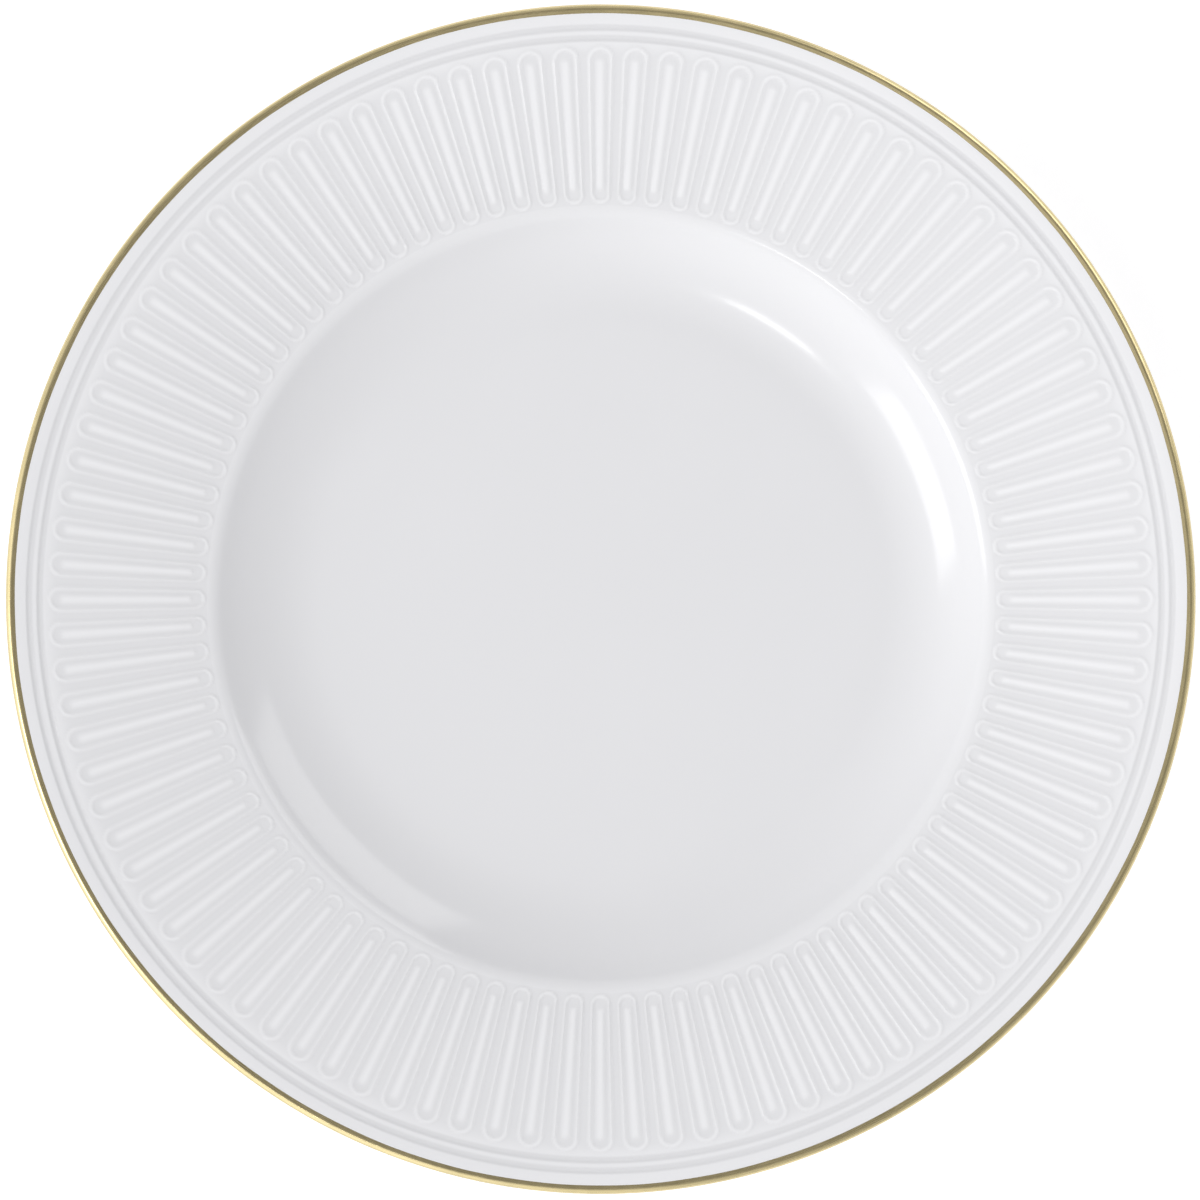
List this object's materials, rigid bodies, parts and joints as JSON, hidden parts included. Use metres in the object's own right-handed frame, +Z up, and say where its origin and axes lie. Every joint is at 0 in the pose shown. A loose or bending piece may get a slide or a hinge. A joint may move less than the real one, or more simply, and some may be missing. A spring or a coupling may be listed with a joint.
{
  "type": "dinner plate",
  "caption": "Round porcelain dinner plate with a plain well, a broad rim of radial cabled flutes, two fine grooves and a gold line round the lip, on a foot ring.",
  "frame": {"origin": "centre of the foot ring's bearing plane, at the bottom of the plate", "axes": "+Z up along the plate's axis of symmetry; X and Y are alike, and a rib of the rim lies on +X"},
  "size_m": [0.27, 0.27, 0.024],
  "materials": {
    "porcelain": "matt, fired and unglazed",
    "glaze": "clear gloss over white porcelain",
    "gold": "burnished gold"
  },
  "bodies": {
    "root": {"porcelain_body": "porcelain", "glaze_coat": "glaze", "glaze_foot_recess": "glaze", "gold_edge_line": "gold"}
  },
  "joints": []
}
